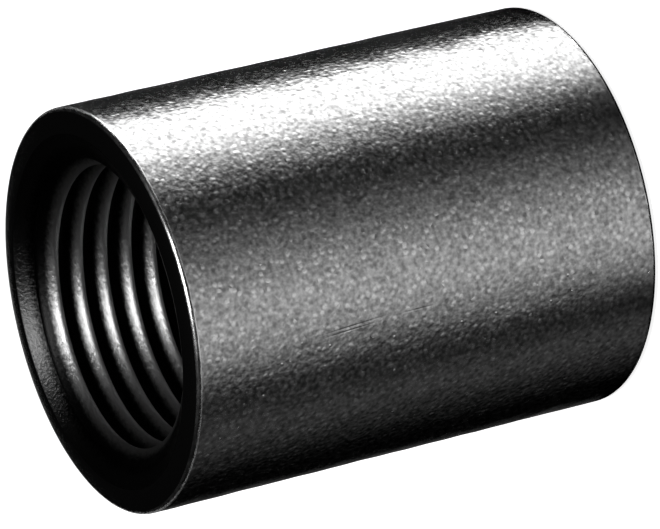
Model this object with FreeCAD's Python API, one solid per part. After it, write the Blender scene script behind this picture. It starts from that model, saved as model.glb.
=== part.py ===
"""Pipe socket: a short steel sleeve, tapped right through, with a countersunk mouth at each end.

Sizes are in millimetres. The bore runs along Z, the socket stands on its lower rim, and the origin is
the centre of that rim.
"""
import FreeCAD
import Part
import math
import os

# Parallel pipe thread of the half-inch size
INCH = 25.4
THREADS_PER_INCH = 14
THREAD_MAJOR_DIAMETER = 20.955
FLANK_ANGLE = 55.0

# Sleeve
LENGTH = 34.4
WALL_OVER_THREAD = 3.0

# Rims: a flat land round each mouth, from which the rim falls a little to its outer edge
RIM_LAND = 0.4
RIM_FALL = 0.2
RIM_EDGE_RADIUS = 0.3

# Countersunk mouths
MOUTH_LIP = 1.25
MOUTH_ANGLE = 120.0

# Thread form: the sharp triangle loses a sixth of its height at the crest and at the root
PITCH = INCH / THREADS_PER_INCH
SHARP_HEIGHT = PITCH / (2 * math.tan(math.radians(FLANK_ANGLE / 2)))
TRUNCATION = SHARP_HEIGHT / 6
THREAD_DEPTH = SHARP_HEIGHT - 2 * TRUNCATION

# Radii and depths that follow from the sizes above
ROOT_RADIUS = THREAD_MAJOR_DIAMETER / 2
BORE_RADIUS = ROOT_RADIUS - THREAD_DEPTH
OUTER_RADIUS = ROOT_RADIUS + WALL_OVER_THREAD
MOUTH_RADIUS = ROOT_RADIUS + MOUTH_LIP
MOUTH_DEPTH = (MOUTH_RADIUS - BORE_RADIUS) / math.tan(math.radians(MOUTH_ANGLE / 2))
LAND_RADIUS = MOUTH_RADIUS + RIM_LAND
FALL_ANGLE = math.atan2(RIM_FALL, OUTER_RADIUS - LAND_RADIUS)

AXIS = FreeCAD.Vector(0, 0, 1)
ORIGIN = FreeCAD.Vector(0, 0, 0)
FULL_TURN = 360


def at(radius, height):
    """Point of the half section at a radius from the bore's axis and a height over the lower rim."""
    return FreeCAD.Vector(radius, 0, height)


def rim_round(rim_height, inward):
    """Round between a falling rim and the outer wall; inward is +1 at the lower rim and -1 at the upper."""
    half_corner = (math.pi / 2 + FALL_ANGLE) / 2
    reach = RIM_EDGE_RADIUS / math.tan(half_corner)
    edge_height = rim_height + inward * RIM_FALL
    on_rim = at(OUTER_RADIUS - reach * math.cos(FALL_ANGLE),
                edge_height - inward * reach * math.sin(FALL_ANGLE))
    on_wall = at(OUTER_RADIUS, edge_height + inward * reach)
    centre = at(OUTER_RADIUS - RIM_EDGE_RADIUS, edge_height + inward * reach)
    corner = at(OUTER_RADIUS, edge_height)
    on_curve = centre + (corner - centre).normalize() * RIM_EDGE_RADIUS
    return Part.Arc(on_rim, on_curve, on_wall).toShape()


def half_section():
    """Closed half section of the sleeve, on one side of the bore's axis."""
    lower_round = rim_round(0, 1)
    upper_round = rim_round(LENGTH, -1)
    corners = [
        upper_round.valueAt(upper_round.FirstParameter),
        at(LAND_RADIUS, LENGTH),
        at(MOUTH_RADIUS, LENGTH),
        at(BORE_RADIUS, LENGTH - MOUTH_DEPTH),
        at(BORE_RADIUS, MOUTH_DEPTH),
        at(MOUTH_RADIUS, 0),
        at(LAND_RADIUS, 0),
        lower_round.valueAt(lower_round.FirstParameter),
    ]
    inside = [Part.LineSegment(a, b).toShape() for a, b in zip(corners, corners[1:])]
    wall_foot = lower_round.valueAt(lower_round.LastParameter)
    wall_top = upper_round.valueAt(upper_round.LastParameter)
    wall = Part.LineSegment(wall_foot, wall_top).toShape()
    return Part.Face(Part.Wire([lower_round, wall, upper_round] + inside))


def socket_body():
    """The sleeve, turned about the bore's axis."""
    return half_section().revolve(ORIGIN, AXIS, FULL_TURN)


def main():
    """Writes the one piece that the socket is made of."""
    os.makedirs("parts", exist_ok=True)
    socket_body().exportStep("parts/socket_body.step")


main()
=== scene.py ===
"""Looks of the pipe socket: a cast steel sleeve, tapped right through, standing on a pale floor.

Sizes are in millimetres, and a mesh is scaled to metres when it is finished. The frame is the CAD's: the
bore runs along Z, and the socket stands on its lower rim with that rim's centre at the origin.
"""

import enum
import logging
import math
from dataclasses import dataclass

import bmesh
import bpy
from mathutils import Matrix, Vector, noise


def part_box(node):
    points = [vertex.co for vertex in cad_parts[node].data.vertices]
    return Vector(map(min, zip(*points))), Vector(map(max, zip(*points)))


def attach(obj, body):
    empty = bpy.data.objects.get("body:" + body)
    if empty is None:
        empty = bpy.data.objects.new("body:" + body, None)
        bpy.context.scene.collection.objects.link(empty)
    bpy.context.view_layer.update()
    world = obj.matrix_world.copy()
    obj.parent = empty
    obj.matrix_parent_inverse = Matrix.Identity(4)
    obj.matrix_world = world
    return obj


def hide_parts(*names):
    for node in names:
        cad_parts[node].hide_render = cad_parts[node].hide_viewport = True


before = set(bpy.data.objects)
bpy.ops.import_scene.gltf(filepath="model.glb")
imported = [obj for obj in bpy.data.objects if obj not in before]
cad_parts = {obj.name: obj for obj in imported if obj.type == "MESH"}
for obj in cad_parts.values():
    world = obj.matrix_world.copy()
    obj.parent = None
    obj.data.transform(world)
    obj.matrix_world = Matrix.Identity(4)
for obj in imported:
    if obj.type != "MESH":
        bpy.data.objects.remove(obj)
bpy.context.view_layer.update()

MM = 0.001
INCH = 25.4
NODE = "socket_body"
LOG = logging.getLogger("pipe_socket")

# Points nearer to each other than this are one point
WELD = 1e-4

# Most values of a noise texture lie between these two
NOISE_LOW = 0.3
NOISE_HIGH = 0.7

# A finish is rougher and smoother than its mean roughness by this much
GLOSS_SPREAD = 0.05

# Rings of a wave texture are this far apart at a scale of one
WAVE_LENGTH = 2 * math.pi / 20

# A quarter of a turn, as the shader's rotation socket counts it
QUARTER_TURN = 0.25

# Colour sockets of a Mix node, which share their names with its other kinds of socket
MIX_FIRST = 6
MIX_SECOND = 7
MIX_RESULT = 2


class Zone(enum.IntEnum):
    """Faces of the socket that were made in different ways, in the order of the mesh's material slots."""

    WALL = 0
    RIM = 1
    MOUTH = 2
    THREAD = 3
    EDGE = 4


def linear(hex_colour: str) -> tuple[float, float, float, float]:
    """Turns an sRGB hex colour into the linear colour that shaders take.

    Args:
        hex_colour: six hex digits, with or without a leading mark.

    Returns:
        Red, green, blue and an alpha of one.
    """
    digits = hex_colour.lstrip("#")
    shares = [int(digits[i:i + 2], 16) / 255 for i in (0, 2, 4)]
    # The sRGB curve is straight near black and a power above
    red, green, blue = [s / 12.92 if s <= 0.04045 else ((s + 0.055) / 1.055) ** 2.4 for s in shares]
    return red, green, blue, 1.0


def per_mm(size: float) -> float:
    """Texture scale, per metre, at which one cell of a pattern is the given size in millimetres."""
    return 1.0 / (size * MM)


def add_node(tree: bpy.types.NodeTree, kind: str, feeds: dict | None = None,
             **settings: object) -> bpy.types.Node:
    """Adds a node, sets its fields, and feeds its sockets.

    Args:
        tree: node tree that the node goes into.
        kind: the node's Blender type name.
        feeds: for each input's name or number, a socket to link or a value to set.
        settings: the node's own fields.

    Returns:
        The new node.
    """
    node = tree.nodes.new(kind)
    for name, value in settings.items():
        setattr(node, name, value)
    for name, value in (feeds or {}).items():
        if isinstance(value, bpy.types.NodeSocket):
            tree.links.new(value, node.inputs[name])
        else:
            node.inputs[name].default_value = value
    return node


def new_material(name: str) -> bpy.types.Material:
    """Makes a material with an empty node tree.

    Args:
        name: what the material is, and how its surface was made.

    Returns:
        The material.
    """
    material = bpy.data.materials.new(name)
    material.use_nodes = True
    material.node_tree.nodes.clear()
    return material


def new_object(name: str, bm: bmesh.types.BMesh) -> bpy.types.Object:
    """Turns a finished bmesh in millimetres into an object at the origin, in metres.

    Args:
        name: name of the object and of its mesh.
        bm: the shape; it is freed here.

    Returns:
        The linked object.
    """
    bmesh.ops.scale(bm, vec=(MM, MM, MM), verts=bm.verts)
    mesh = bpy.data.meshes.new(name)
    bm.to_mesh(mesh)
    bm.free()
    made = bpy.data.objects.new(name, mesh)
    bpy.context.scene.collection.objects.link(made)
    return made


@dataclass(frozen=True)
class Scratch:
    """Shallow scratch along the wall, deepest in its middle.

    The angle is in degrees round the wall from the side that faces -Y, towards +X. The lean is in degrees
    off the bore's direction.
    """

    angle: float
    height: float
    half_length: float
    half_width: float
    lean: float

    def draw(self, tree: bpy.types.NodeTree, place: bpy.types.NodeSocket,
             wall_radius: float) -> bpy.types.NodeSocket:
        """Draws the scratch as a long thin spot.

        Args:
            tree: node tree of the wall's finish.
            place: socket with the Object coordinates.
            wall_radius: radius of the wall that the scratch lies on.

        Returns:
            Socket that is one in the middle of the scratch and zero outside it.
        """
        turn = math.radians(self.angle)
        middle = Vector((math.sin(turn) * wall_radius, -math.cos(turn) * wall_radius, self.height))
        spot = add_node(tree, "ShaderNodeMapping", {
            "Vector": place, "Location": middle * MM, "Rotation": (0.0, math.radians(self.lean), turn),
            "Scale": Vector((self.half_width, 1.0, self.half_length)) * MM}, vector_type="TEXTURE")
        return add_node(tree, "ShaderNodeTexGradient", {"Vector": spot.outputs[0]},
                        gradient_type="SPHERICAL").outputs["Fac"]


@dataclass(frozen=True)
class Grains:
    """Small round grains and pits that the sand of a shell mould leaves, each of its own height.

    There is about one to a cell. The heights lie between the lowest and the highest, and one below zero
    is a pit's.
    """

    cell: float
    radius: float
    lowest: float
    highest: float

    def draw(self, tree: bpy.types.NodeTree, place: bpy.types.NodeSocket) -> bpy.types.NodeSocket:
        """Draws the grains as round spots with soft sides.

        Args:
            tree: node tree of the wall's finish.
            place: socket with the Object coordinates.

        Returns:
            Socket with the height in millimetres, which is zero between the grains.
        """
        cells = add_node(tree, "ShaderNodeTexVoronoi", {"Vector": place, "Scale": per_mm(self.cell)})
        height = add_node(tree, "ShaderNodeMapRange", {
            "Value": cells.outputs["Color"], "To Min": self.lowest, "To Max": self.highest})
        spots = add_node(tree, "ShaderNodeMapRange", {
            "Value": cells.outputs["Distance"], "From Max": self.radius / self.cell,
            "To Min": 1.0, "To Max": 0.0}, interpolation_type="SMOOTHSTEP")
        return add_node(tree, "ShaderNodeMath", {0: spots.outputs[0], 1: height.outputs[0]},
                        operation="MULTIPLY").outputs[0]


@dataclass(frozen=True)
class BlastedCastSteel:
    """Outer wall: steel cast in a shell mould and shot blasted.

    The pebbles have finer layers on them, each with a share of the height of the one before. The tint
    runs from the pits' colour to the hills' between two heights, which are shares of the pebbles'.
    """

    wall_radius: float
    hill: str = "#B4B4B4"
    pit: str = "#666666"
    edge_tint: str = "#404040"
    roughness: float = 0.20
    pebble: float = 0.30
    pebble_height: float = 0.021
    finer_layers: float = 1.0
    layer_share: float = 0.4
    tint_low: float = 0.24
    tint_high: float = 0.94
    grains: tuple[Grains, ...] = (
        Grains(cell=0.42, radius=0.26, lowest=-0.009, highest=0.019),
        Grains(cell=1.5, radius=0.13, lowest=0.0, highest=0.040),
    )
    scratch_depth: float = 0.012
    scratches: tuple[Scratch, ...] = (
        Scratch(angle=-20.0, height=22.8, half_length=2.9, half_width=0.09, lean=-3.6),
        Scratch(angle=-21.1, height=23.1, half_length=2.2, half_width=0.08, lean=-3.6),
        Scratch(angle=-19.75, height=18.1, half_length=1.3, half_width=0.09, lean=-1.0),
    )

    def material(self) -> bpy.types.Material:
        """Builds the finish: shallow pebbles and grains, a slight spread of gloss, and scratches.

        Returns:
            The material.
        """
        # The blasted skin mirrors the room in soft bands, and its pebbles break their edges into sparks
        made = new_material("blasted_cast_steel")
        tree = made.node_tree
        place = add_node(tree, "ShaderNodeTexCoord").outputs["Object"]
        pebbles = add_node(tree, "ShaderNodeTexNoise", {
            "Vector": place, "Scale": per_mm(self.pebble), "Detail": self.finer_layers,
            "Roughness": self.layer_share})
        height = add_node(tree, "ShaderNodeMath", {
            0: pebbles.outputs["Fac"], 1: self.pebble_height}, operation="MULTIPLY").outputs[0]
        for grains in self.grains:
            height = add_node(tree, "ShaderNodeMath", {0: grains.draw(tree, place), 1: height}).outputs[0]
        share = add_node(tree, "ShaderNodeMapRange", {
            "Value": height, "From Min": self.tint_low * self.pebble_height,
            "From Max": self.tint_high * self.pebble_height})
        tint = add_node(tree, "ShaderNodeMix", {
            "Factor": share.outputs[0], MIX_FIRST: linear(self.pit), MIX_SECOND: linear(self.hill)},
            data_type="RGBA")
        for scratch in self.scratches:
            hollow = scratch.draw(tree, place, self.wall_radius)
            height = add_node(tree, "ShaderNodeMath", {0: hollow, 1: -self.scratch_depth, 2: height},
                              operation="MULTIPLY_ADD").outputs[0]
        bump = add_node(tree, "ShaderNodeBump", {"Strength": 1.0, "Distance": MM, "Height": height})
        gloss = add_node(tree, "ShaderNodeMapRange", {
            "Value": pebbles.outputs["Fac"], "From Min": NOISE_LOW, "From Max": NOISE_HIGH,
            "To Min": self.roughness - GLOSS_SPREAD, "To Max": self.roughness + GLOSS_SPREAD})
        shader = add_node(tree, "ShaderNodeBsdfPrincipled", {
            "Base Color": tint.outputs[MIX_RESULT], "Metallic": 1.0, "Roughness": gloss.outputs[0],
            "Specular Tint": linear(self.edge_tint), "Normal": bump.outputs[0]})
        add_node(tree, "ShaderNodeOutputMaterial", {"Surface": shader.outputs[0]})
        return made


@dataclass(frozen=True)
class TurnedSteel:
    """Rims: steel faced in a lathe, with fine rings one tool feed apart."""

    colour: str = "#808080"
    roughness: float = 0.20
    feed: float = 0.25
    ring_height: float = 0.002
    waver: float = 1.5

    def material(self) -> bpy.types.Material:
        """Builds the finish: rings round the bore that waver a little.

        Returns:
            The material.
        """
        # A faced rim is smooth and even, so it is black where the room above it is dark
        made = new_material("turned_steel")
        tree = made.node_tree
        place = add_node(tree, "ShaderNodeTexCoord").outputs["Object"]
        rings = add_node(tree, "ShaderNodeTexWave", {
            "Vector": place, "Scale": per_mm(self.feed) * WAVE_LENGTH, "Distortion": self.waver},
            wave_type="RINGS", rings_direction="Z")
        bump = add_node(tree, "ShaderNodeBump", {
            "Strength": 1.0, "Distance": self.ring_height * MM, "Height": rings.outputs["Fac"]})
        shader = add_node(tree, "ShaderNodeBsdfPrincipled", {
            "Base Color": linear(self.colour), "Metallic": 1.0, "Roughness": self.roughness,
            "Normal": bump.outputs[0]})
        add_node(tree, "ShaderNodeOutputMaterial", {"Surface": shader.outputs[0]})
        return made


@dataclass(frozen=True, kw_only=True)
class CutSteel:
    """Bare steel as a tool left it, with marks that are long round the bore and narrow along it.

    The marks have finer layers on them, each with a share of the height of the one before. The drag, from
    0 to 1, is how far the marks draw a reflection out across them.
    """

    name: str
    colour: str
    roughness: float
    mark_width: float
    mark_length: float
    mark_height: float
    finer_layers: float = 3.0
    layer_share: float = 0.6
    drag: float

    def tint(self, tree: bpy.types.NodeTree, place: bpy.types.NodeSocket,
             marks: bpy.types.NodeSocket) -> tuple | bpy.types.NodeSocket:
        """Gives the metal's colour, which is the same all over."""
        return linear(self.colour)

    def material(self) -> bpy.types.Material:
        """Builds the finish out of the marks.

        Returns:
            The material.
        """
        made = new_material(self.name)
        tree = made.node_tree
        place = add_node(tree, "ShaderNodeTexCoord").outputs["Object"]
        # Real marks are a few hundredths of a millimetre wide, and these are coarser so that they show
        along = per_mm(self.mark_length)
        across = per_mm(self.mark_width)
        drawn = add_node(tree, "ShaderNodeMapping", {"Vector": place, "Scale": (along, along, across)})
        marks = add_node(tree, "ShaderNodeTexNoise", {
            "Vector": drawn.outputs[0], "Scale": 1.0, "Detail": self.finer_layers,
            "Roughness": self.layer_share}).outputs["Fac"]
        bump = add_node(tree, "ShaderNodeBump", {
            "Strength": 1.0, "Distance": self.mark_height * MM, "Height": marks})
        gloss = add_node(tree, "ShaderNodeMapRange", {
            "Value": marks, "From Min": NOISE_LOW, "From Max": NOISE_HIGH,
            "To Min": self.roughness - GLOSS_SPREAD, "To Max": self.roughness + GLOSS_SPREAD})
        round_bore = add_node(tree, "ShaderNodeTangent", direction_type="RADIAL", axis="Z")
        # A quarter turn of the tangent draws reflections out across the marks
        shader = add_node(tree, "ShaderNodeBsdfPrincipled", {
            "Base Color": self.tint(tree, place, marks), "Metallic": 1.0, "Roughness": gloss.outputs[0],
            "Anisotropic": self.drag, "Anisotropic Rotation": QUARTER_TURN,
            "Tangent": round_bore.outputs[0], "Normal": bump.outputs[0]})
        add_node(tree, "ShaderNodeOutputMaterial", {"Surface": shader.outputs[0]})
        return made


@dataclass(frozen=True, kw_only=True)
class ShadedCutSteel(CutSteel):
    """Cut steel with painted shade: its own colour at one radius from the bore's axis, darkened at
    another.
    """

    # Colour of the painted shade that darkens the hollows
    shade_colour: str
    unshaded_radius: float
    shaded_radius: float
    patchiness: float

    def tint(self, tree: bpy.types.NodeTree, place: bpy.types.NodeSocket,
             marks: bpy.types.NodeSocket) -> bpy.types.NodeSocket:
        """Paints shade on the metal, from its own colour to the shade's colour, with an edge that the
        marks make patchy.

        Args:
            tree: node tree of the finish.
            place: socket with the Object coordinates.
            marks: socket with the cut's marks.

        Returns:
            Socket with the colour.
        """
        level = add_node(tree, "ShaderNodeMapping", {"Vector": place, "Scale": (1.0, 1.0, 0.0)})
        radius = add_node(tree, "ShaderNodeVectorMath", {0: level.outputs[0]}, operation="LENGTH")
        patchy = add_node(tree, "ShaderNodeMath", {
            0: marks, 1: self.patchiness * MM, 2: radius.outputs["Value"]}, operation="MULTIPLY_ADD")
        shift = self.patchiness / 2
        share = add_node(tree, "ShaderNodeMapRange", {
            "Value": patchy.outputs[0], "From Min": (self.unshaded_radius + shift) * MM,
            "From Max": (self.shaded_radius + shift) * MM}, interpolation_type="SMOOTHSTEP")
        shade = add_node(tree, "ShaderNodeMix", {
            "Factor": share.outputs[0], MIX_FIRST: linear(self.colour), MIX_SECOND: linear(self.shade_colour)},
            data_type="RGBA")
        return shade.outputs[MIX_RESULT]


@dataclass
class PipeSocket:
    """The socket: a round sleeve with a thread right through it and a countersunk mouth at each end."""

    length: float
    outer_radius: float

    # Half-inch parallel pipe thread, and the height of its first crest under the upper rim on the +Y side
    major_diameter: float = 20.955
    threads_per_inch: int = 14
    half_flank: float = math.radians(27.5)
    crest_height: float = 32.63

    # Mouths and rims
    mouth_lip: float = 1.25
    mouth_half_angle: float = math.radians(60.0)
    mouth_edge: float = 0.05
    rim_land: float = 0.4
    rim_fall: float = 0.2
    edge_radius: float = 0.3

    # Unevenness of the cast wall: its swellings' size and height, and the depth that they fade over
    swell: float = 1.6
    swell_height: float = 0.03
    swell_fade: float = 1.0

    # Where painted shade darkens the thread, out from its crests, and the countersinks, out from its
    # roots
    thread_unshaded: float = 0.05
    thread_shaded: float = 0.78
    mouth_unshaded: float = 0.7
    mouth_shaded: float = -0.05

    # Fineness of the mesh
    steps: int = 216
    crest_segments: int = 6
    edge_segments: int = 6
    wall_rows: int = 64
    sharp_angle: float = math.radians(32.0)

    # Depth of the plain part of a countersink, and how near to a cut a point is taken onto it
    collar: float = 0.5
    snap: float = 0.03
    cling: float = 0.01

    @property
    def root_radius(self) -> float:
        """Radius of the thread's rounded roots."""
        return self.major_diameter / 2

    @property
    def pitch(self) -> float:
        """Distance from one turn of the thread to the next."""
        return INCH / self.threads_per_inch

    @property
    def mouth_radius(self) -> float:
        """Radius of the bore's opening in each rim."""
        return self.root_radius + self.mouth_lip

    @property
    def crest_radius(self) -> float:
        """Radius of the thread's rounded crests."""
        return self.root_radius - self.sharp_height + 2 * self.tip_loss

    @property
    def taper(self) -> float:
        """Radius that a countersink loses for each millimetre of depth."""
        return math.tan(self.mouth_half_angle)

    @property
    def edge_reach(self) -> float:
        """Distance from a rim's sharp outer corner to where its rounding starts."""
        fall = math.atan2(self.rim_fall, self.outer_radius - self.mouth_radius - self.rim_land)
        return self.edge_radius / math.tan((math.pi / 2 + fall) / 2)

    @property
    def sharp_height(self) -> float:
        """Height of the thread's triangle before its tips are rounded off."""
        return self.pitch / 2 / math.tan(self.half_flank)

    @property
    def tip_loss(self) -> float:
        """Height that rounding takes off each tip of the thread's triangle, a sixth of the whole."""
        return self.sharp_height / 6

    @property
    def mean_radius(self) -> float:
        """Radius at which the flat thread is as long as the bore is round."""
        return (self.crest_radius + self.root_radius) / 2

    @property
    def across(self) -> float:
        """Width of one column of the flat thread."""
        return 2 * math.pi * self.mean_radius / self.steps

    @property
    def rims(self) -> tuple[tuple[float, float], ...]:
        """Height of each rim, and the way out of its mouth."""
        return (self.length, 1.0), (0.0, -1.0)

    def column(self, place: float) -> float:
        """Nearest column to a place along the flat thread."""
        return round(place / self.across) * self.across

    def spoke(self, number: int) -> Vector:
        """Direction from the bore's axis to a column."""
        turn = 2 * math.pi * number / self.steps
        return Vector((math.cos(turn), math.sin(turn)))

    def build(self) -> bpy.types.Object:
        """Models the socket as one closed mesh.

        Returns:
            The object, with a material index of its zone on each face.
        """
        bm = bmesh.new()
        self.lay_thread(bm)
        self.sink_mouths(bm)
        self.roll_up(bm)
        self.add_shell(bm)
        self.swell_wall(bm)
        bmesh.ops.recalc_face_normals(bm, faces=bm.faces)
        for face in bm.faces:
            face.smooth = True
        made = new_object("socket", bm)
        made.data.set_sharp_from_angle(angle=self.sharp_angle)
        return made

    def lay_thread(self, bm: bmesh.types.BMesh) -> None:
        """Lays the thread out flat: X runs round the bore, Y is the radius and Z the height.

        Args:
            bm: an empty bmesh.
        """
        half = self.pitch / 2
        outer_tip = self.root_radius + self.tip_loss
        inner_tip = outer_tip - self.sharp_height
        # The +Y side is a quarter turn from the first column, where the crest is a quarter pitch lower
        start = self.crest_height - self.pitch / 4
        spare = 3
        turns = math.ceil(self.length / self.pitch) + spare
        corners = []
        for k in range(-2 * turns, 2 * spare + 1):
            radius = inner_tip if k % 2 == 0 else outer_tip
            corners.append(bm.verts.new((0, radius, start + k * half)))
        line = [bm.edges.new(pair) for pair in zip(corners, corners[1:])]
        bmesh.ops.spin(bm, geom=corners + line, cent=(0, 0, 0), axis=(0, 0, 1), angle=0, steps=self.steps,
                       dvec=(self.across, 0, self.pitch / self.steps))
        bmesh.ops.remove_doubles(bm, verts=bm.verts, dist=WELD)
        inner = [e for e in bm.edges if len(e.link_faces) == 2]
        ridges = [e for e in inner if abs(e.verts[0].co.y - e.verts[1].co.y) < WELD]
        # The middle of a bevel's curve lies this share of its reach from the sharp tip
        sag = 2 * (1 - math.sqrt(0.5)) * math.cos(self.half_flank)
        bmesh.ops.bevel(bm, geom=ridges, offset=self.tip_loss / sag, offset_type="OFFSET", affect="EDGES",
                        segments=self.crest_segments, profile=0.5, material=-1)
        # A bevel of slanting ridges leaves its points a little beside the columns
        for vert in bm.verts:
            vert.co.x = self.column(vert.co.x)

    def sink_mouths(self, bm: bmesh.types.BMesh) -> None:
        """Cuts the flat thread with the countersinks, which are planes while it is flat.

        Args:
            bm: the flat thread.
        """
        for rim, out in self.rims:
            bmesh.ops.bisect_plane(bm, geom=bm.verts[:] + bm.edges[:] + bm.faces[:], dist=self.cling,
                                   plane_co=(0, self.mouth_radius, rim),
                                   plane_no=(0, 1, -out * self.taper))
            end = rim - out * self.collar
            cut = bmesh.ops.bisect_plane(bm, geom=bm.verts[:] + bm.edges[:] + bm.faces[:], dist=self.snap,
                                         plane_co=(0, 0, end), plane_no=(0, 0, out), clear_outer=True)
            for vert in (g for g in cut["geom_cut"] if isinstance(g, bmesh.types.BMVert)):
                vert.co.x = self.column(vert.co.x)
                vert.co.z = end
            # Metal inside the cone is pressed back onto it, and so is what the cut left just outside
            for vert in bm.verts:
                cone = self.mouth_radius - (rim - vert.co.z) * out * self.taper
                if vert.co.y < cone + 2 * self.cling:
                    vert.co.y = cone
        bmesh.ops.remove_doubles(bm, verts=bm.verts, dist=WELD)
        # Where a countersink cuts through a ridge, the cut takes the ridge's finish and painted shade,
        # and counts as thread
        for face in bm.faces:
            sunk = all(self.is_sunk(v.co) for v in face.verts)
            face.material_index = Zone.MOUTH if sunk else Zone.THREAD

    def is_sunk(self, place: Vector) -> bool:
        """Whether a point of the flat thread is on a countersink, out past where the ridges' painted
        shade is full.
        """
        cone = self.mouth_radius - min(place.z, self.length - place.z) * self.taper
        return abs(place.y - cone) < WELD and place.y > self.crest_radius + self.thread_shaded

    def roll_up(self, bm: bmesh.types.BMesh) -> None:
        """Rolls the flat thread into the bore and closes its seam.

        Args:
            bm: the flat thread, with its mouths sunk.
        """
        flat_length = self.steps * self.across
        seam = [v for v in bm.verts if min(v.co.x, flat_length - v.co.x) < self.across / 2]
        for vert in bm.verts:
            columns = vert.co.x / self.across
            before = math.floor(columns)
            spoke = self.spoke(before).lerp(self.spoke(before + 1), columns - before)
            vert.co.x, vert.co.y = spoke * vert.co.y
        bmesh.ops.remove_doubles(bm, verts=seam, dist=self.cling)

    def add_shell(self, bm: bmesh.types.BMesh) -> None:
        """Draws the countersinks' plain parts, the rims and the outer wall out of the thread's upper end.

        Args:
            bm: the rolled thread, whose ends the shell closes.
        """
        edges = [e for e in bm.edges if e.is_boundary and e.verts[0].co.z > self.length / 2]
        lip = self.mouth_radius / (self.mouth_radius - self.collar * self.taper)
        land = 1 + self.rim_land / self.mouth_radius
        edge = self.outer_radius / (self.mouth_radius + self.rim_land)
        wall_height = self.length - 2 * self.rim_fall
        mouth_top = self.draw_ring(bm, edges, Zone.MOUTH, lip, self.collar)
        land_top = self.draw_ring(bm, mouth_top, Zone.RIM, land, 0.0)
        corner_top = self.draw_ring(bm, land_top, Zone.RIM, edge, -self.rim_fall)
        corner_low = self.draw_ring(bm, corner_top, Zone.WALL, 1.0, -wall_height)
        land_low = self.draw_ring(bm, corner_low, Zone.RIM, 1 / edge, -self.rim_fall)
        mouth_low = self.draw_ring(bm, land_low, Zone.RIM, 1 / land, 0.0)
        self.draw_ring(bm, mouth_low, Zone.MOUTH, 1 / lip, self.collar)
        bmesh.ops.remove_doubles(bm, verts=bm.verts, dist=WELD)
        for corner, reach, zone in ((corner_top + corner_low, self.edge_reach, Zone.EDGE),
                                    (mouth_top + mouth_low, self.mouth_edge, Zone.MOUTH)):
            rounded = bmesh.ops.bevel(bm, geom=corner, offset=reach, offset_type="OFFSET", affect="EDGES",
                                      segments=self.edge_segments, profile=0.5, material=-1)
            for face in rounded["faces"]:
                face.material_index = zone
        uprights = [e for e in bm.edges if all(f.material_index == Zone.WALL for f in e.link_faces)]
        bmesh.ops.subdivide_edges(bm, edges=uprights, cuts=self.wall_rows, use_grid_fill=True)

    def draw_ring(self, bm: bmesh.types.BMesh, edges: list[bmesh.types.BMEdge], zone: Zone, widen: float,
                  rise: float) -> list[bmesh.types.BMEdge]:
        """Draws a band of faces out of a ring of edges.

        Args:
            bm: bmesh that the ring is in.
            edges: the ring's edges.
            zone: zone of the new faces.
            widen: what the new ring's radius is times the old one's.
            rise: how far the new ring lies above the old one.

        Returns:
            The new ring's edges.
        """
        drawn = bmesh.ops.extrude_edge_only(bm, edges=edges)["geom"]
        verts = [g for g in drawn if isinstance(g, bmesh.types.BMVert)]
        bmesh.ops.scale(bm, vec=(widen, widen, 1), verts=verts)
        bmesh.ops.translate(bm, vec=(0, 0, rise), verts=verts)
        for face in (g for g in drawn if isinstance(g, bmesh.types.BMFace)):
            face.material_index = zone
        made = [g for g in drawn if isinstance(g, bmesh.types.BMEdge)]
        return [e for e in made if all(v in verts for v in e.verts)]

    def swell_wall(self, bm: bmesh.types.BMesh) -> None:
        """Gives the wall the slight unevenness of a casting, which dies away at the rims.

        Args:
            bm: the closed socket.
        """
        for vert in bm.verts:
            if any(f.material_index != Zone.WALL for f in vert.link_faces):
                continue
            depth = min(vert.co.z, self.length - vert.co.z) - self.rim_fall - self.edge_reach
            fade = min(1.0, depth / self.swell_fade)
            rise = self.swell_height * noise.noise(vert.co / self.swell) * fade
            vert.co.xy *= 1 + rise / self.outer_radius

    def dress(self, made: bpy.types.Object) -> None:
        """Gives each zone its finish, hangs the piece on the root body and hides the CAD part that it
        stands in for.

        Args:
            made: the socket's object.
        """
        # A cutter leaves one soft gleam on each cone, and painted shade darkens it towards the thread
        countersunk = ShadedCutSteel(
            name="countersunk_steel", colour="#646464", roughness=0.33, mark_width=0.16, mark_length=0.20,
            mark_height=0.035, drag=0.88, shade_colour="#242424", unshaded_radius=self.root_radius + self.mouth_unshaded,
            shaded_radius=self.root_radius + self.mouth_shaded, patchiness=1.2)
        # A tap leaves the crests bright and torn, and painted shade turns the grooves black
        tapped = ShadedCutSteel(
            name="tapped_steel", colour="#CCCCCC", roughness=0.46, mark_width=0.12, mark_length=0.40,
            mark_height=0.04, drag=0.8, shade_colour="#262626", unshaded_radius=self.crest_radius + self.thread_unshaded,
            shaded_radius=self.crest_radius + self.thread_shaded, patchiness=0.5)
        # Handling wears the outer edge of a rim bright, so it shows as a thin light line
        worn = CutSteel(name="worn_steel", colour="#C4C4C4", roughness=0.26, mark_width=0.16,
                        mark_length=1.0, mark_height=0.03, drag=0.0)
        finishes = {Zone.WALL: BlastedCastSteel(self.outer_radius), Zone.RIM: TurnedSteel(),
                    Zone.MOUTH: countersunk, Zone.THREAD: tapped, Zone.EDGE: worn}
        for zone in Zone:
            made.data.materials.append(finishes[zone].material())
        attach(made, "root")
        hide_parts(NODE)


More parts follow.
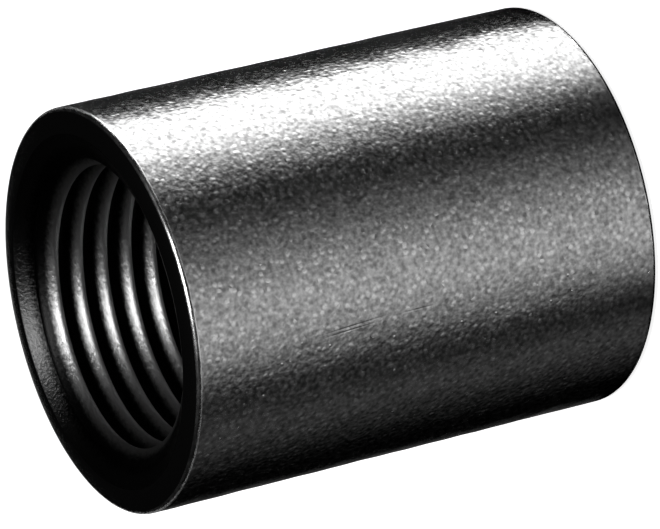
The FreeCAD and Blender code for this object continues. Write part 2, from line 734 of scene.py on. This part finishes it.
@dataclass(frozen=True)
class Floor:
    """Plain pale floor, white to the camera and in the metal, that keeps the socket's shadow."""

    half_side: float = 3000.0
    drop: float = 0.02
    colour: str = "#F2F2F2"
    glow_colour: str = "#FFFFFF"
    glow: float = 0.9

    def lay(self) -> bpy.types.Object:
        """Lays the floor just under the lower rim.

        Returns:
            The floor's object.
        """
        bm = bmesh.new()
        bmesh.ops.create_grid(bm, x_segments=1, y_segments=1, size=self.half_side,
                              matrix=Matrix.Translation((0, 0, -self.drop)))
        made = new_object("floor", bm)
        made.data.materials.append(self.material())
        return made

    def material(self) -> bpy.types.Material:
        """Builds paper that glows a little for camera, glossy and transmission rays.

        Returns:
            The material.
        """
        # Matt paper has no gloss of its own, and shows only the soft shadow
        made = new_material("matt_white_paper")
        tree = made.node_tree
        path = add_node(tree, "ShaderNodeLightPath")
        seen = add_node(tree, "ShaderNodeMath", {
            0: path.outputs["Is Camera Ray"], 1: path.outputs["Is Glossy Ray"]}, operation="MAXIMUM")
        shown = add_node(tree, "ShaderNodeMath", {
            0: seen.outputs[0], 1: path.outputs["Is Transmission Ray"]}, operation="MAXIMUM")
        glow = add_node(tree, "ShaderNodeMath", {0: shown.outputs[0], 1: self.glow}, operation="MULTIPLY")
        shader = add_node(tree, "ShaderNodeBsdfPrincipled", {
            "Base Color": linear(self.colour), "Roughness": 1.0, "Specular IOR Level": 0.0,
            "Emission Color": linear(self.glow_colour), "Emission Strength": glow.outputs[0]})
        add_node(tree, "ShaderNodeOutputMaterial", {"Surface": shader.outputs[0]})
        return made


@dataclass(frozen=True)
class Reflector:
    """Light panel on the floor round the socket's foot, out of the picture, shaded from white to black.

    The camera looks down on the wall, so a strip of the wall at an angle from its front mirrors a ray of
    floor that runs out from that strip's foot at twice the angle. Each stop gives the angle of a strip,
    in degrees, and the glow of its ray.
    """

    stops: tuple[tuple[float, float], ...] = (
        (-89.5, 0.25), (-80.0, 0.26), (-73.0, 0.02), (-66.0, 0.0), (-58.0, 0.04), (-45.0, 0.14),
        (-35.0, 0.04), (-30.0, 0.1), (-24.0, 0.5), (-17.0, 1.03), (-8.0, 1.15), (0.0, 0.75), (8.0, 0.34),
        (15.0, 0.13), (21.0, 0.04), (27.0, 0.13), (32.0, 0.8), (38.0, 2.6), (44.0, 4.6), (56.0, 6.5),
        (60.0, 2.6), (62.0, 0.1), (68.0, 0.0), (76.0, 0.03), (89.5, 0.2),
    )
    reach: float = 600.0
    rays: int = 120
    lift: float = 0.03
    strip: str = "round_the_foot"

    @property
    def ends(self) -> tuple[float, float]:
        """Angles of the first and the last stop."""
        return self.stops[0][0], self.stops[-1][0]

    def share(self, angle: float) -> float:
        """How far along the panel's strip an angle lies, from zero to one."""
        first, last = self.ends
        return (angle - first) / (last - first)

    def lay(self, foot_radius: float) -> bpy.types.Object:
        """Spreads the panel out of a strip whose length follows the foot of the wall.

        Args:
            foot_radius: radius of the socket's wall.

        Returns:
            The panel's object.
        """
        bm = bmesh.new()
        bm.loops.layers.uv.new(self.strip)
        # The grid starts as a square of side one about the origin
        half = 0.5
        bmesh.ops.create_grid(bm, x_segments=self.rays, y_segments=1, size=half, calc_uvs=True)
        first, last = self.ends
        for vert in bm.verts:
            turn = math.radians(first + (last - first) * (vert.co.x + half))
            out = self.reach * (vert.co.y + half)
            foot = Vector((math.sin(turn), -math.cos(turn), 0)) * foot_radius
            ray = Vector((math.sin(2 * turn), -math.cos(2 * turn), 0))
            vert.co = foot + ray * out + Vector((0, 0, self.lift))
        made = new_object("reflector", bm)
        made.data.materials.append(self.material())
        made.visible_camera = False
        made.visible_shadow = False
        return made

    def material(self) -> bpy.types.Material:
        """Builds a glowing sheet whose brightness follows the stops.

        Returns:
            The material.
        """
        # A lit diffusing sheet has no edge that shows, so the bands in the metal fade into each other
        made = new_material("lit_diffusing_sheet")
        tree = made.node_tree
        strip = add_node(tree, "ShaderNodeUVMap", uv_map=self.strip)
        along = add_node(tree, "ShaderNodeSeparateXYZ", {"Vector": strip.outputs[0]})
        shades = add_node(tree, "ShaderNodeValToRGB", {"Fac": along.outputs["X"]})
        elements = shades.color_ramp.elements
        peak = max(glow for _, glow in self.stops)
        for angle, glow in self.stops:
            share = self.share(angle)
            stop = elements.new(share) if 0 < share < 1 else elements[-1 if share else 0]
            level = glow / peak
            stop.color = (level, level, level, 1.0)
        shader = add_node(tree, "ShaderNodeEmission", {"Color": shades.outputs[0], "Strength": peak})
        add_node(tree, "ShaderNodeOutputMaterial", {"Surface": shader.outputs[0]})
        return made


@dataclass(frozen=True)
class FootShade:
    """Black ring close round the foot, out of the picture, that the lower edge mirrors as a dark line."""

    width: float = 0.4
    lift: float = 0.05
    colour: str = "#000000"
    segments: int = 128

    def lay(self, foot_radius: float) -> bpy.types.Object:
        """Lays a black disc, of which only the rim is not under the socket.

        Args:
            foot_radius: radius of the socket's wall.

        Returns:
            The disc's object.
        """
        bm = bmesh.new()
        bmesh.ops.create_circle(bm, cap_ends=True, segments=self.segments,
                                radius=foot_radius + self.width,
                                matrix=Matrix.Translation((0, 0, self.lift)))
        made = new_object("foot_shade", bm)
        made.data.materials.append(self.material())
        made.visible_camera = False
        made.visible_shadow = False
        return made

    def material(self) -> bpy.types.Material:
        """Builds matt card.

        Returns:
            The material.
        """
        # Black card sends no light back, so the foot of the wall has a dark edge
        made = new_material("matt_black_card")
        shader = add_node(made.node_tree, "ShaderNodeBsdfDiffuse", {"Color": linear(self.colour)})
        add_node(made.node_tree, "ShaderNodeOutputMaterial", {"Surface": shader.outputs[0]})
        return made


@dataclass(frozen=True)
class SoftBox:
    """Area lamp of even brightness, not seen by the camera itself."""

    name: str
    centre: tuple[float, float, float]
    aim: tuple[float, float, float]
    width: float
    height: float
    radiance: float

    def hang(self) -> bpy.types.Object:
        """Hangs the lamp at its centre, turned to its aim.

        Returns:
            The lamp's object.
        """
        lamp = bpy.data.lights.new(self.name, "AREA")
        lamp.shape = "RECTANGLE"
        lamp.size = self.width * MM
        lamp.size_y = self.height * MM
        lamp.energy = self.radiance * math.pi * lamp.size * lamp.size_y
        made = bpy.data.objects.new(self.name, lamp)
        centre = Vector(self.centre)
        made.location = centre * MM
        made.rotation_euler = (Vector(self.aim) - centre).to_track_quat("-Z", "Y").to_euler()
        made.visible_camera = False
        bpy.context.scene.collection.objects.link(made)
        return made


@dataclass(frozen=True)
class PhotoCamera:
    """Camera at the photograph's viewing angle, for a frame of 660 by 529 pixels.

    The elevation and the roll are in degrees, and the lens and the sensor's width in millimetres.
    """

    aim: tuple[float, float, float] = (-0.484, 0.0, 17.192)
    distance: float = 451.15
    elevation: float = 26.571
    roll: float = -103.381
    lens: float = 374.4
    sensor: float = 36.0

    def place(self) -> bpy.types.Object:
        """Places the camera and makes it the scene's camera.

        Returns:
            The camera's object.
        """
        rise = math.radians(self.elevation)
        roll = math.radians(self.roll)
        forward = Vector((0, math.cos(rise), -math.sin(rise)))
        level = Vector((1, 0, 0))
        upright = level.cross(forward)
        right = level * math.cos(roll) + upright * math.sin(roll)
        up = right.cross(forward)
        data = bpy.data.cameras.new("camera")
        data.lens = self.lens
        data.sensor_width = self.sensor
        data.sensor_fit = "HORIZONTAL"
        made = bpy.data.objects.new("camera", data)
        turn = Matrix((right, up, -forward)).transposed()
        made.rotation_euler = turn.to_euler()
        made.location = (Vector(self.aim) - forward * self.distance) * MM
        bpy.context.scene.collection.objects.link(made)
        bpy.context.scene.camera = made
        return made


@dataclass
class Studio:
    """Floor, reflector, foot shade, lamps, world and camera."""

    world: str = "#0C0C0C"
    lamps: tuple[SoftBox, ...] = (
        SoftBox(name="top_box", centre=(27.0, -105.0, 300.0), aim=(0.0, 0.0, 30.0),
                width=115.0, height=105.0, radiance=14.0),
        SoftBox(name="front_box", centre=(0.0, -260.0, 320.0), aim=(0.0, 0.0, 20.0),
                width=300.0, height=200.0, radiance=0.15),
        SoftBox(name="over_box", centre=(15.0, 20.0, 330.0), aim=(0.0, 0.0, 30.0),
                width=90.0, height=60.0, radiance=2.0),
    )

    def set_up(self, foot_radius: float) -> None:
        """Builds everything round the socket.

        Args:
            foot_radius: radius of the socket's wall.
        """
        scene = bpy.context.scene
        scene.view_settings.view_transform = "Standard"
        world = bpy.data.worlds.new("studio")
        world.use_nodes = True
        world.node_tree.nodes["Background"].inputs["Color"].default_value = linear(self.world)
        scene.world = world
        Floor().lay()
        Reflector().lay(foot_radius)
        FootShade().lay(foot_radius)
        for lamp in self.lamps:
            lamp.hang()
        PhotoCamera().place()


def main() -> None:
    """Builds the socket, then the studio round it."""
    logging.basicConfig(level=logging.INFO, format="%(name)s: %(message)s")
    _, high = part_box(NODE)
    socket = PipeSocket(length=high.z / MM, outer_radius=high.x / MM)
    made = socket.build()
    socket.dress(made)
    made.data.calc_loop_triangles()
    LOG.info("%s has %d triangles", made.name, len(made.data.loop_triangles))
    Studio().set_up(socket.outer_radius)


if __name__ == "__main__":
    main()
